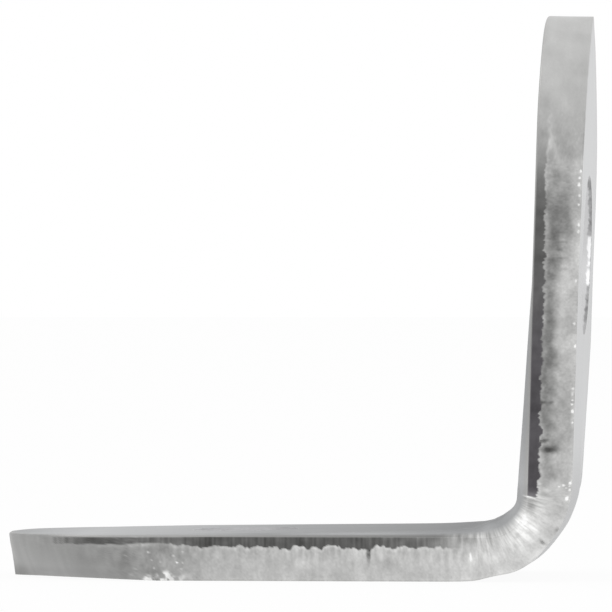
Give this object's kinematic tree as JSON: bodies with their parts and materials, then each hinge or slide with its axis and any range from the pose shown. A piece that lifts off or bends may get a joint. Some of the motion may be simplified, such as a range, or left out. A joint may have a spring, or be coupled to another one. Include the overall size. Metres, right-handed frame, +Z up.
{
  "type": "corner brace",
  "caption": "L-shaped corner brace folded from zinc-plated steel strip, with round-ended legs, each drilled with a countersunk screw hole.",
  "frame": {"origin": "middle of the base leg's flat outer face, between its screw hole and the bend", "axes": "+Z up from the base leg's outer face, +X along the base leg towards the bend, +Y across the strip"},
  "size_m": [0.0267, 0.0126, 0.0254],
  "materials": {
    "zinc_plate": "bright zinc plating, smooth faces and rough sheared edges"
  },
  "bodies": {
    "root": {"corner_brace": "zinc_plate"}
  },
  "joints": []
}
